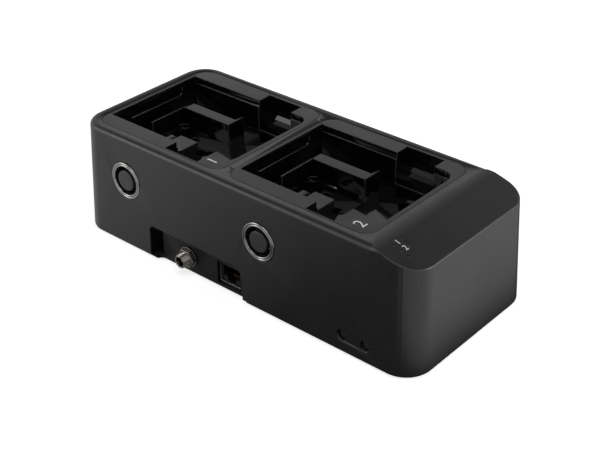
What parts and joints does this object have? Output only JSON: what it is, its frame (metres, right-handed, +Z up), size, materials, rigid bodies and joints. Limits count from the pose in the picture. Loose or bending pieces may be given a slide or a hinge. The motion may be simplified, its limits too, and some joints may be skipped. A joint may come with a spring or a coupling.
{
  "type": "charging dock",
  "caption": "Two-bay charging dock with gloss black battery bays, ringed eject push buttons, DC and network jacks and a sloped end.",
  "frame": {"origin": "on the table under the middle of the part's box", "axes": "+X along the dock to its sloped end, +Z up, jacks and buttons on the -Y side"},
  "size_m": [0.2352, 0.1078, 0.0668],
  "materials": {
    "housing": "charcoal, finely textured, satin",
    "insert": "black, polished inside the bays, satin on the rims",
    "base": "black, textured",
    "ring": "polished",
    "button": "satin black",
    "black_parts": "satin black",
    "steel": "zinc plated",
    "contacts": "gold plated",
    "jack_metal": "nickel plated",
    "shield": "tin plated sheet",
    "circuit_board": "green solder mask",
    "light_pipe": "clear moulding",
    "feet": "matte"
  },
  "bodies": {
    "dock": {"top_housing": "housing", "bay_insert_1": "insert", "bay_insert_2": "insert", "base_plate": "base", "eject_ring_1": "ring", "eject_ring_2": "ring", "button_sleeve_1": "black_parts", "button_sleeve_2": "black_parts", "contact_block_1": "black_parts", "contact_block_2": "black_parts", "dc_jack_body": "black_parts", "rj45_insert": "black_parts", "reset_switch": "black_parts", "storage_switch": "black_parts", "eject_spring_1": "steel", "eject_spring_2": "steel", "lever_pin_1": "steel", "lever_pin_2": "steel", "ballast_plate": "steel", "case_screw_1": "steel", "case_screw_2": "steel", "case_screw_3": "steel", "case_screw_4": "steel", "case_screw_5": "steel", "case_screw_6": "steel", "board_screw_1": "steel", "board_screw_2": "steel", "board_screw_3": "steel", "board_screw_4": "steel", "dc_jack_pin": "contacts", "dc_jack_barrel": "jack_metal", "dc_jack_nut": "jack_metal", "dc_jack_washer": "jack_metal", "rj45_shell": "shield", "main_board": "circuit_board", "led_board": "circuit_board", "button_board": "circuit_board", "light_pipe": "light_pipe", "rubber_foot_1": "feet", "rubber_foot_2": "feet", "rubber_foot_3": "feet", "rubber_foot_4": "feet"},
    "eject_button_1": {"eject_button_1": "button", "button_clip_1": "steel"},
    "eject_lever_1": {"eject_lever_1": "black_parts"},
    "contact_pin_1_a": {"contact_pin_1_a": "contacts"},
    "contact_pin_1_b": {"contact_pin_1_b": "contacts"},
    "contact_pin_1_c": {"contact_pin_1_c": "contacts"},
    "eject_button_2": {"eject_button_2": "button", "button_clip_2": "steel"},
    "eject_lever_2": {"eject_lever_2": "black_parts"},
    "contact_pin_2_a": {"contact_pin_2_a": "contacts"},
    "contact_pin_2_b": {"contact_pin_2_b": "contacts"},
    "contact_pin_2_c": {"contact_pin_2_c": "contacts"},
    "reset_button": {"reset_button": "button"},
    "storage_button": {"storage_button": "button"}
  },
  "joints": [
    {"name": "eject_press_1", "type": "slide", "parent": "dock", "child": "eject_button_1", "axis": [0, 1, 0], "range_m": [0, 0.002], "stiffness_N_per_m": 600, "deforming": ["eject_spring_1"]},
    {"name": "eject_lift_1", "type": "hinge", "parent": "dock", "child": "eject_lever_1", "pos_m": [-0.0789, -0.0176, 0.048], "axis": [1, 0, 0], "range_deg": [0, 17.5], "stiffness_Nm_per_rad": 0.02},
    {"name": "contact_press_1_a", "type": "slide", "parent": "dock", "child": "contact_pin_1_a", "axis": [1, 0, 0], "range_m": [0, 0.0008], "stiffness_N_per_m": 400},
    {"name": "contact_press_1_b", "type": "slide", "parent": "dock", "child": "contact_pin_1_b", "axis": [1, 0, 0], "range_m": [0, 0.0008], "stiffness_N_per_m": 400},
    {"name": "contact_press_1_c", "type": "slide", "parent": "dock", "child": "contact_pin_1_c", "axis": [1, 0, 0], "range_m": [0, 0.0008], "stiffness_N_per_m": 400},
    {"name": "eject_press_2", "type": "slide", "parent": "dock", "child": "eject_button_2", "axis": [0, 1, 0], "range_m": [0, 0.002], "stiffness_N_per_m": 600, "deforming": ["eject_spring_2"]},
    {"name": "eject_lift_2", "type": "hinge", "parent": "dock", "child": "eject_lever_2", "pos_m": [0.0189, -0.0176, 0.048], "axis": [1, 0, 0], "range_deg": [0, 17.5], "stiffness_Nm_per_rad": 0.02},
    {"name": "contact_press_2_a", "type": "slide", "parent": "dock", "child": "contact_pin_2_a", "axis": [1, 0, 0], "range_m": [0, 0.0008], "stiffness_N_per_m": 400},
    {"name": "contact_press_2_b", "type": "slide", "parent": "dock", "child": "contact_pin_2_b", "axis": [1, 0, 0], "range_m": [0, 0.0008], "stiffness_N_per_m": 400},
    {"name": "contact_press_2_c", "type": "slide", "parent": "dock", "child": "contact_pin_2_c", "axis": [1, 0, 0], "range_m": [0, 0.0008], "stiffness_N_per_m": 400},
    {"name": "reset_press", "type": "slide", "parent": "dock", "child": "reset_button", "axis": [0, 1, 0], "range_m": [0, 0.0006], "stiffness_N_per_m": 800},
    {"name": "storage_press", "type": "slide", "parent": "dock", "child": "storage_button", "axis": [0, 1, 0], "range_m": [0, 0.0006], "stiffness_N_per_m": 800}
  ],
  "couplings": [
    {"joint": "eject_lift_1", "follows": "eject_press_1", "rad_per_m": 151},
    {"joint": "eject_lift_2", "follows": "eject_press_2", "rad_per_m": 151}
  ]
}
